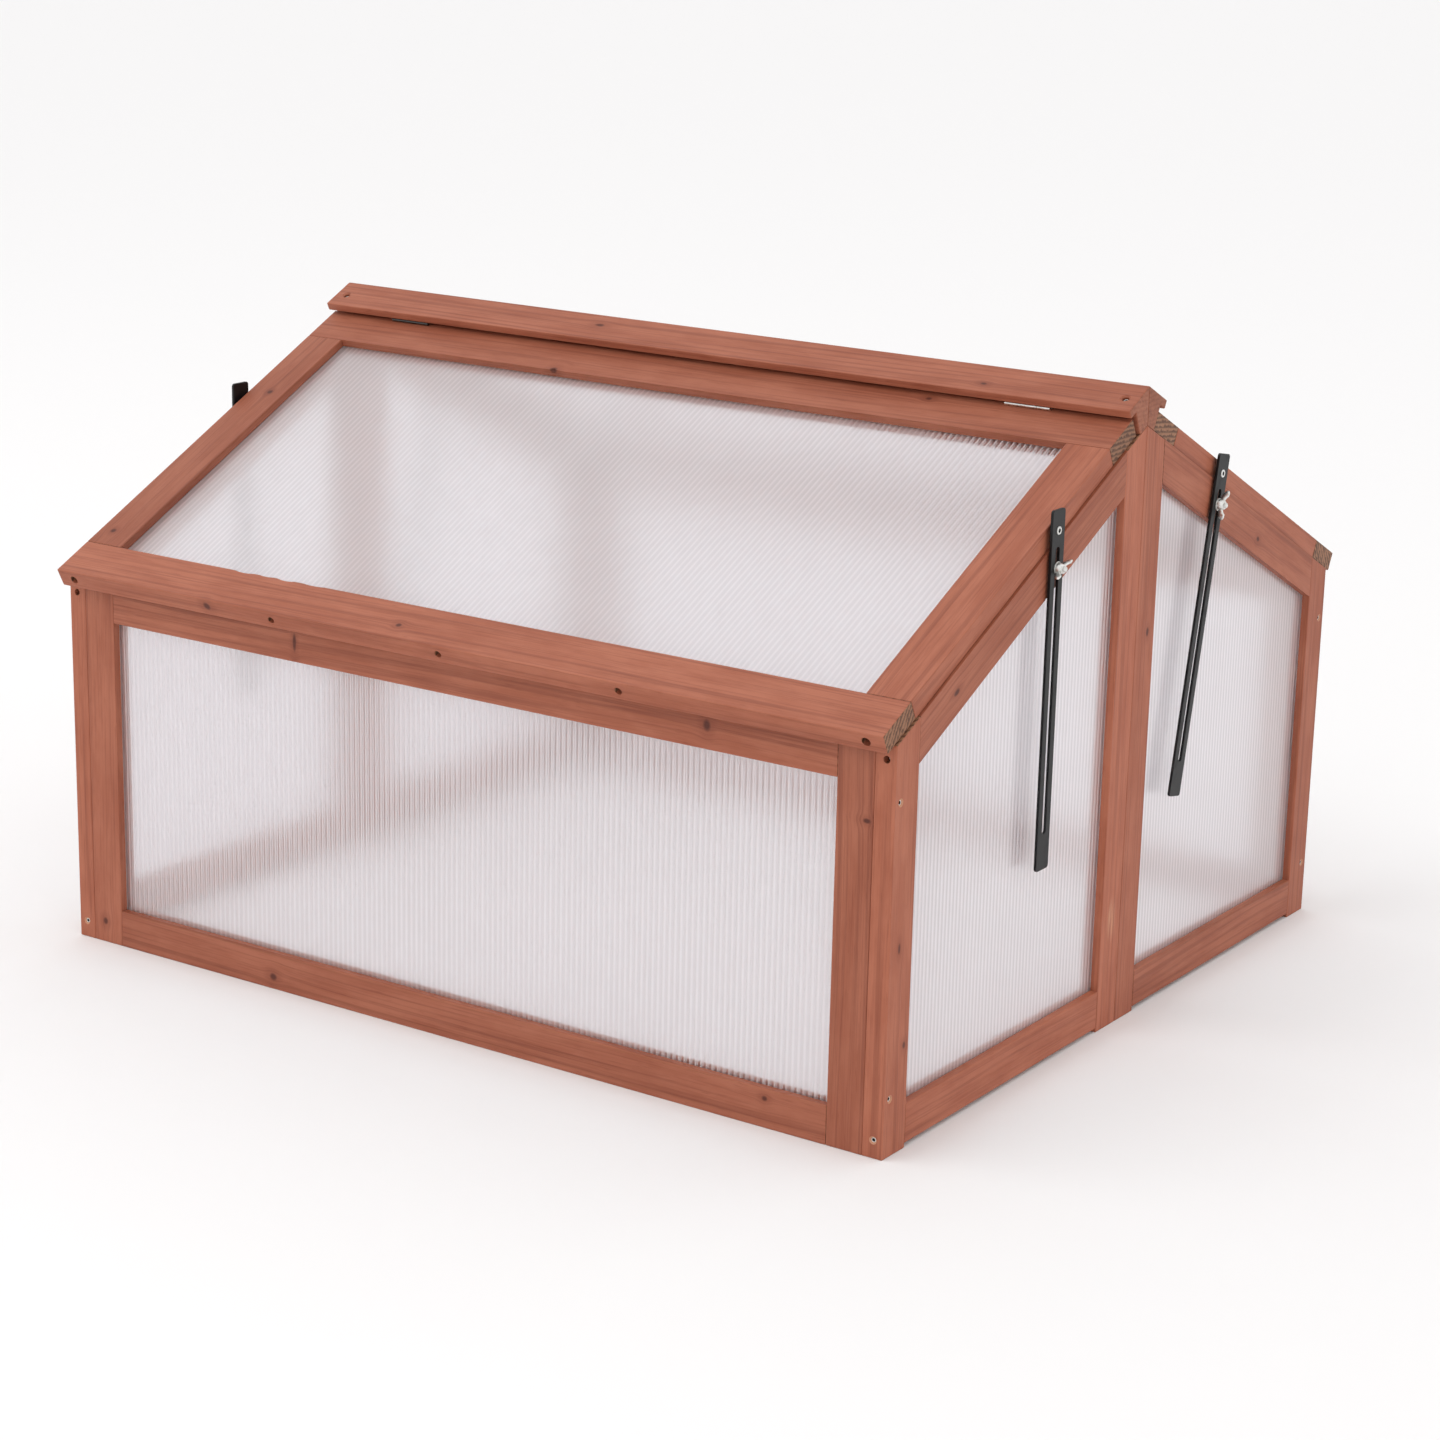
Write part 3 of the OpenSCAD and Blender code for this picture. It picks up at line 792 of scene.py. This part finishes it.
def sheet_boxes(u_range, low, top, n_range):
    """The shell's corners and then those of its channels, shape (count + 1, 8, 3), and the same
    corners' places along u counted in flutes. Flutes lie at equal steps; top(u) is the upper edge."""
    (u0, u1), (n0, n1) = u_range, n_range
    count = int((u1 - u0 - 2 * RIB) // FLUTE)
    first = (u0 + u1 - count * FLUTE) / 2
    left = first + FLUTE * np.arange(count) + RIB / 2
    right = left + FLUTE - RIB
    shell = prism(u0, u1, low, top(u0), top(u1), n0, n1)
    air = prism(left, right, low + RIB, top(left) - RIB, top(right) - RIB, n0 + SKIN, n1 - SKIN)
    corners = np.concatenate([shell, air])
    return corners, (corners[..., 0] - first) / FLUTE


def twin_wall(name, u_ranges, low, top, n_range, place):
    """One mesh of a node's sheets, one for each range of u. Place turns (u, v, n) into points of the
    frame; where it mirrors them, every face is turned over. The shell's faces point outwards and the
    channels' faces point into the air."""
    corners, flute, faces, kind, boxes = [], [], [], [], 0
    for u_range in u_ranges:
        sheet, along = sheet_boxes(u_range, low, top, n_range)
        turned_in = np.repeat(BOX_FACES[None, :, ::-1], len(sheet) - 1, 0)
        own_faces = np.concatenate([BOX_FACES[None], turned_in])
        faces.append((own_faces + 8 * (boxes + np.arange(len(sheet)))[:, None, None]).reshape(-1, 4))
        kind.append(np.array([[0] * 6] + [SIDE_OF_AIR] * (len(sheet) - 1)))
        corners.append(sheet)
        flute.append(along)
        boxes += len(sheet)
    mesh = mesh_from(name, place(np.concatenate(corners).reshape(-1, 3)), faces)
    if np.linalg.det(place(np.eye(3)) - place(np.zeros((1, 3)))) < 0:
        mesh.flip_normals()
    write_attribute(mesh, "inside", np.concatenate(kind), "FACE")
    write_attribute(mesh, "flute", np.concatenate(flute))
    return mesh


# %% [markdown]
# The plastic is clear with a milky haze, and a little rough, which blurs what is behind it. Where a rib
# meets the skin there is more plastic, so the haze is stronger along those seams. The clear stripes
# between them are tinted grey, which is painted shade for the dark inside seen through them. Lamps have
# to light the inside of the greenhouse through the sheets, and a renderer's shadow rays stop at glass,
# so for those rays the sheet is plainly see-through.


# %% Twin-wall plastic
SHEET_TINT = (0.985, 0.975, 0.99)      # of the skin along the seams
SHEET_SHADE_GREY = (0.82, 0.805, 0.825)      # of the skin between them: painted shade of the dark inside seen through
SHEET_HAZE = (0.965, 0.945, 0.965)
SHEET_CLEAR = (0.988, 0.986, 0.988)
LAMP_CLEAR = (0.982, 0.980, 0.982)
SHEET_BLUR, SHEET_IOR = 0.277, 1.17
GLOSS_BLUR, GLOSS_IOR = 0.2, 1.9
SKIN_HAZE = 0.04
SEAM_HAZE = 0.68
RIB_HAZE = 0.12


def twin_wall_plastic():
    """Outer skin: rough clear plastic, wave = cos(2 pi flute), with haze and a paler tint where the
    wave is near 1, on the seams, and a painted shade of grey between them. Channels: clear, with a
    little haze on the ribs. All of it is see-through to lamps and to light that has bounced."""
    n = Nodes("twin_wall_sheet")
    inside = n.attribute("inside", "Fac")
    inner, rib = n.maths("GREATER_THAN", inside, 0.5), n.maths("GREATER_THAN", inside, 1.5)
    wave = n.maths("COSINE", n.maths("MULTIPLY", n.attribute("flute", "Fac"), 2 * math.pi))
    # painted shade: the skin between the seams is tinted grey
    n.shine(Base_Color=n.mix(n.ramp(wave, -0.6, 0.6), SHEET_SHADE_GREY, SHEET_TINT))
    n.shine(Roughness=SHEET_BLUR, IOR=SHEET_IOR, Transmission_Weight=1.0)
    n.shine(Coat_Weight=1.0, Coat_Roughness=GLOSS_BLUR, Coat_IOR=GLOSS_IOR)
    n.bump(wave, 0.04 * MM)

    cloud = n.streaks(n.object_place(), (30.0, 30.0, 6.0), detail=3.0)
    seam = n.maths("MULTIPLY", n.ramp(wave, 0.5, 0.95), SEAM_HAZE)
    mist = n.maths("ADD", n.ramp(cloud, 0.3, 0.7, SKIN_HAZE * 0.7, SKIN_HAZE * 1.3), seam)
    milk = n.blend(0.5, n.plain("Translucent", SHEET_HAZE), n.plain("Diffuse", SHEET_HAZE))
    skin = n.blend(mist, n.shader, milk)
    within = n.blend(n.maths("MULTIPLY", rib, RIB_HAZE), n.plain("Transparent", SHEET_CLEAR), milk)
    path = n.tree.nodes.new("ShaderNodeLightPath")
    passing = n.maths("MAXIMUM", path.outputs["Is Shadow Ray"], path.outputs["Is Diffuse Ray"])
    whole = n.blend(passing, n.blend(inner, skin, within), n.plain("Transparent", LAMP_CLEAR))
    n.tree.links.new(whole.outputs[0], n.out.inputs["Surface"])
    return n.material


plastic = twin_wall_plastic()
cycles = bpy.context.scene.cycles
cycles.use_adaptive_sampling = True
cycles.adaptive_threshold = 0.1
cycles.max_bounces = 8
cycles.transmission_bounces = 8
cycles.diffuse_bounces = 3
cycles.transparent_max_bounces = 24


def fit_sheet(mesh, node):
    """Makes the mesh stand for the node's plain plate."""
    mesh.materials.append(plastic)
    piece = link(mesh, mesh.name)
    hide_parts(node)
    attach(piece, body_of_node[node])
    return piece


# %% Sheets of the walls and lids
def level(height):
    """An upper edge that has the same height everywhere."""
    return lambda u: np.full(np.shape(u), height)


def panel_sheet(word):
    """A wall sheet: u is X, v is Z and n is Y."""
    node = f"{word}_sheet"
    low, high = node_box(node)
    mesh = twin_wall(
        f"{word}_twin_wall",
        u_ranges=[(low[0], high[0])],
        low=low[2],
        top=level(high[2]),
        n_range=(low[1], high[1]),
        place=lambda p: p[:, [0, 2, 1]],
    )
    return fit_sheet(mesh, node)


def lid_sheet(side, word):
    """A roof sheet: u is X, v runs up the slope and n is square to it."""
    node = f"{word}_lid_sheet"
    low, high = node_box(node)
    s0, s1, n0, n1 = roof_reach(node, side)
    origin, down, out = roof_frame(side)
    mesh = twin_wall(
        f"{word}_lid_twin_wall",
        u_ranges=[(low[0], high[0])],
        low=-s1,
        top=level(-s0),
        n_range=(n0, n1),
        place=lambda p: origin + p[:, :1] * np.array([1.0, 0, 0]) - p[:, 1:2] * down + p[:, 2:3] * out,
    )
    return fit_sheet(mesh, node)


def end_sheets(word):
    """Both sheets of an end frame as one mesh: u is Y, v is Z and n is X. Their tops slope."""
    node = f"{word}_sheets"
    co = vertices_of(frame["nodes"][node].data)
    outer, inner = np.abs(co[:, 1]).max(), np.abs(co[:, 1]).min()
    mesh = twin_wall(
        f"{word}_twin_wall",
        u_ranges=[(-outer, -inner), (inner, outer)],
        low=co[:, 2].min(),
        top=lambda u: co[:, 2].max() - (np.abs(u) - inner) * math.tan(slope),
        n_range=(co[:, 0].min(), co[:, 0].max()),
        place=lambda p: p[:, [2, 0, 1]],
    )
    return fit_sheet(mesh, node)


sheets = [panel_sheet("front"), panel_sheet("back"), lid_sheet(-1, "front"), lid_sheet(1, "back")]
sheets += [end_sheets("left"), end_sheets("right")]
print("sheets:", len(sheets), "faces:", sum(len(s.data.polygons) for s in sheets))


# %% [markdown]
# ## Metal
# The stays are black painted flat steel, the bolts, wing nuts, hinges and screws are zinc plated.
# Paint gets a fine orange-peel bump; zinc gets soft cloudy patches in colour and roughness.


# %% Metal finishes
PAINT_BLACK, PAINT_DUST = (0.0045, 0.0045, 0.005), (0.030, 0.029, 0.028)
ZINC_DARK, ZINC_LIGHT = (0.62, 0.61, 0.58), (0.84, 0.84, 0.82)
# painted shade: near black for the hollows of screw and rivet heads and for the left hinge leaves
SHADE_BLACK = (0.012, 0.010, 0.009)


def black_paint():
    """Black satin paint: a fine bump, dust in low cloudy patches and a slightly varied gloss."""
    n = Nodes("black_steel")
    place = n.object_place()
    dust = n.ramp(n.noise(place, scale=60.0, detail=4.0, roughness=0.6), 0.50, 0.75)
    colour = n.stain(PAINT_BLACK, dust, 0.35, PAINT_DUST)
    n.shine(Base_Color=colour, Roughness=n.ramp(dust, 0.0, 1.0, 0.40, 0.60, smooth=False))
    n.shine(Specular_IOR_Level=0.3)
    n.bump(n.noise(place, scale=1400.0, detail=2.0), 0.04 * MM, 0.6)
    return n.material


def zinc_plate():
    """Zinc plating: metal with cloudy patches that change its grey and its roughness. Painted shade
    makes the hollows in the heads of screws and rivets, and the left hinge leaves, nearly black."""
    n = Nodes("zinc_steel")
    patches = n.noise(n.object_place(), scale=350.0, detail=3.0, roughness=0.6)
    colour = n.mix(n.ramp(patches, 0.3, 0.7), ZINC_DARK, ZINC_LIGHT)
    # painted shade: the hollows of screw and rivet heads, and the left hinge leaves, are made nearly black
    colour = n.stain(colour, n.attribute("painted_shade", "Fac"), 0.95, SHADE_BLACK)
    n.shine(Base_Color=colour, Roughness=n.ramp(patches, 0.3, 0.7, 0.24, 0.42, smooth=False))
    n.shine(Metallic=1.0)
    n.bump(patches, 0.05 * MM, 0.5)
    return n.material


paint, zinc = black_paint(), zinc_plate()


def dressed(node, material, arris, name):
    """A merged copy of a small metal node with its edges rounded, standing for the node."""
    piece = link(merged_copy(node), name)
    piece.data.materials.clear()
    piece.data.materials.append(material)
    round_edges(piece, arris, 40)
    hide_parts(node)
    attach(piece, body_of_node[node])
    return piece


# %% Stays and hinge leaves
LEFT_HINGE_SHADE = 0.95               # share of painted shade on the left hinge leaves, which sit in the gap's shadow
STAY_ARRIS, LEAF_ARRIS = 0.35 * MM, 0.12 * MM

stay_nodes = [n for n in sorted(frame["nodes"]) if n.endswith("_stay")]
stays = {n: dressed(n, paint, STAY_ARRIS, n + "_bar") for n in stay_nodes}
leaf_nodes = [n for n in sorted(frame["nodes"]) if n.endswith("hinge_leaves")]
leaves = {n: dressed(n, zinc, LEAF_ARRIS, n + "_plate") for n in leaf_nodes}
# painted shade: the left half of every hinge leaf is darkened
for piece in leaves.values():
    write_attribute(piece.data, "painted_shade", LEFT_HINGE_SHADE * (vertices_of(piece.data)[:, 0] < 0))
print("stays:", len(stays), "leaves:", len(leaves))


# %% [markdown]
# Each stay has a tubular rivet at its head: a bright rolled ring with a hollow whose shade is painted
# dark. It rides with the stay, as the screw does in the CAD model.


# %% Rivets
RING_R, TUBE_R = 2.7 * MM, 0.95 * MM
RIVET_FLOOR = 0.1 * MM       # of the hollow above the stay's face
RIVET_SHADE_R, SCREW_SHADE_R = 1.9 * MM, 1.35 * MM


def paint_hollow_shade(mesh, places, radius):
    """painted_shade = 1 on faces whose centre is nearer than radius to one of the axes in places: painted shade in
    a hollow.
    """
    centre = of_faces(mesh, "center")
    nearest = np.min([from_axis(centre, place, axis)[1] for place, axis in places], axis=0)
    write_attribute(mesh, "painted_shade", nearest < radius, "FACE")


def rivet(place, axis):
    """A rolled ring: a small circle carried round the rivet's axis, closed by a sunken floor."""
    angle = np.linspace(math.radians(-20), math.radians(200), 13)
    rise, spread = 0.2 * MM + TUBE_R * np.sin(angle).clip(-0.16), RING_R + TUBE_R * np.cos(angle)
    profile = [(0.0, 0.0), (0.0, RING_R + TUBE_R), *zip(rise, spread)]
    return lathe(place, axis, profile + [(RIVET_FLOOR, RING_R - TUBE_R), (RIVET_FLOOR, 0.0)], 28)


rivets = []
for end, end_word in ((-1, "left"), (1, "right")):
    for side, side_word in ((-1, "front"), (1, "back")):
        node = f"{side_word}_{end_word}_stay"
        co = vertices_of(frame["nodes"][node].data)
        outer_x = np.abs(co[:, 0]).max()
        inner = co[np.abs(co[:, 0]) < np.abs(co[:, 0]).min() + 0.5 * MM]
        pin = (inner.max(0) + inner.min(0)) / 2
        head_at, head_axis = np.array([end * outer_x, pin[1], pin[2]]), np.array([float(end), 0, 0])
        mesh = solid_from([rivet(head_at, head_axis)], f"{node}_rivet")
        # painted shade in the rivet's hollow
        paint_hollow_shade(mesh, [(head_at, head_axis)], RIVET_SHADE_R)
        mesh.materials.append(zinc)
        mesh.shade_smooth()
        piece = link(mesh, mesh.name)
        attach(piece, body_of_node[node])
        rivets.append(piece)
print("rivets:", len(rivets))

# %% [markdown]
# The wing nuts are small castings. The hub is lathed. A wing is an oval section carried along a curved
# path that leaves the hub sideways and bends outwards, widening to a round ear and closing at its tip.


# %% Lathed profiles and wings
HEAD_ROWS = ((-2.5, 0), (-2.4, 2), (-1.7, 4.6), (-0.6, 5.8), (0, 6), (0, 2.5))
WASHER_ROWS = ((0, 2.6), (0, 5.6), (0.2, 5.8), (0.8, 5.8), (1, 5.6), (1, 2.6), (0, 2.6))
HUB_ROWS = ((0, 0), (0, 4.6), (0.5, 5), (2.0, 4.9), (5.5, 3.9), (6, 3.4), (6, 0))
BOLT_R, WASHER_T = 2.5 * MM, 1 * MM
THREAD_DEPTH, THREAD_PITCH = 0.35 * MM, 0.8 * MM
HUB_R, WING_REACH, WING_BASE = 4.6 * MM, 11.5 * MM, 2.6 * MM
TIP_GAP = 0.1 * MM           # keeps the tips inside the CAD bolt's length
RING = 16                    # points round a wing's section


def wing(place, axis, sideways, rise, base):
    """One wing: section centres go from (0.6 HUB_R, base) to (WING_REACH, rise) on a quarter-sine
    curve in the plane of sideways and axis; the half width grows from 2.2 mm to 3.6 mm and falls to 0
    as a circle does at the tip, and the half thickness is about 1 mm."""
    t = np.linspace(0.0, 1.0, 15)
    start = HUB_R * 0.6
    along = start + (WING_REACH - start) * np.sin(t * math.pi / 2) ** 0.9
    up = base + (rise - base) * (1 - np.cos(t * math.pi / 2)) ** 0.9
    width = (2.2 * MM + 1.4 * MM * t) * np.sqrt(np.clip(1 - t**6, 0, 1))
    thick = (1.15 * MM - 0.25 * MM * t) * np.sqrt(np.clip(1 - t**8, 0, 1))
    path = np.asarray(place) + along[:, None] * sideways + up[:, None] * axis
    tangent = np.gradient(path, axis=0)
    tangent /= np.linalg.norm(tangent, axis=1)[:, None]
    flat = np.cross(axis, sideways)
    normal = np.cross(tangent, flat)
    angle = np.linspace(0, 2 * math.pi, RING, endpoint=False)
    ring = (
        width[:, None, None] * np.cos(angle)[None, :, None] * normal[:, None, :]
        + thick[:, None, None] * np.sin(angle)[None, :, None] * flat[None, None, :]
    )
    points = (path[:, None, :] + ring).reshape(-1, 3)
    points[:RING] = path[0]
    points[-RING:] = path[-1]
    return points, grid_faces(len(t), RING)


def thread(x0, x1, radius):
    """Profile of a threaded shank as a row of small teeth."""
    count = int((x1 - x0) / THREAD_PITCH)
    x = x0 + (x1 - x0) * np.arange(2 * count + 1) / (2 * count)
    r = np.where(np.arange(2 * count + 1) % 2, radius, radius - THREAD_DEPTH)
    return list(zip(x, r))


def bolt_parts(centre, axis, inside, outer, tip, turn):
    """A bolt with its washer and wing nut, as lathed parts and two wings. Distances run along axis
    from centre: inside and outer are the faces that the head and the washer bear on."""
    nut = outer + WASHER_T
    bolt_end = outer + 0.4 * MM
    head = profile_at(inside, HEAD_ROWS) + [(bolt_end, BOLT_R), (bolt_end, 0)]
    shank = [(nut + 5 * MM, 0), *thread(nut + 5 * MM, tip - 0.3 * MM, BOLT_R), (tip, 1.8 * MM), (tip, 0)]
    profiles = (head, profile_at(outer, WASHER_ROWS), profile_at(nut, HUB_ROWS), shank)
    sideways = np.array([0.0, math.cos(turn), math.sin(turn)])
    wings = [wing(centre, axis, s, tip - TIP_GAP, nut + WING_BASE) for s in (sideways, -sideways)]
    return [lathe(centre, axis, p, 28) for p in profiles] + wings


# %% Bolts and wing nuts
NUT_TURN = {("front", "right"): 28, ("back", "right"): 65, ("front", "left"): 75, ("back", "left"): 120}
nuts = []
for end, end_word in ((-1, "left"), (1, "right")):
    for side, side_word in ((-1, "front"), (1, "back")):
        node = f"{side_word}_{end_word}_bolt"
        centre = np.array(joint_at[f"{side_word}_{end_word}_bolt_turn"]["pos_m"])
        centre[0] = 0.0
        outer = np.abs([corner[0] for corner in node_box(f"{side_word}_{end_word}_stay")]).max()
        tip = np.abs([corner[0] for corner in node_box(node)]).max() - TIP_GAP
        turn = math.radians(NUT_TURN[(side_word, end_word)])
        parts = bolt_parts(centre, np.array([float(end), 0, 0]), half_l - stick_t, outer, tip, turn)
        mesh = solid_from(parts, f"{node}_and_wing_nut")
        mesh.materials.append(zinc)
        mesh.shade_smooth()
        mesh.set_sharp_from_angle(angle=math.radians(40))
        piece = link(mesh, mesh.name)
        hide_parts(node)
        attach(piece, body_of_node[node])
        nuts.append(piece)
print("wing nuts:", len(nuts))


# %% [markdown]
# Screws sit in the holes drilled above. Each head is a lathed cone, and a sunken middle with painted
# shade stands for its cross recess. The screws of a body are one mesh.


# %% Screws
SCREW_ROWS = ((-2.0, 0), (-2.0, 1.2), (-0.3, 2.15), (0, 2.15), (0.1, 2.0), (0, 1.5), (-1.3, 1.0), (-1.5, 0))


def screw_head(place, axis, depth):
    """A countersunk head whose face lies depth below the wood: rim, shallow dish and a deep socket."""
    return lathe(place, axis, profile_at(-depth, SCREW_ROWS))


for body, places in screws.items():
    mesh = solid_from([screw_head(*p) for p in places], f"{body}_screws")
    # painted shade in the cross recess of each screw head
    paint_hollow_shade(mesh, [p[:2] for p in places], SCREW_SHADE_R)
    mesh.materials.append(zinc)
    mesh.shade_smooth()
    mesh.set_sharp_from_angle(angle=math.radians(35))
    piece = link(mesh, mesh.name)
    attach(piece, body)
print("screw groups:", len(screws))
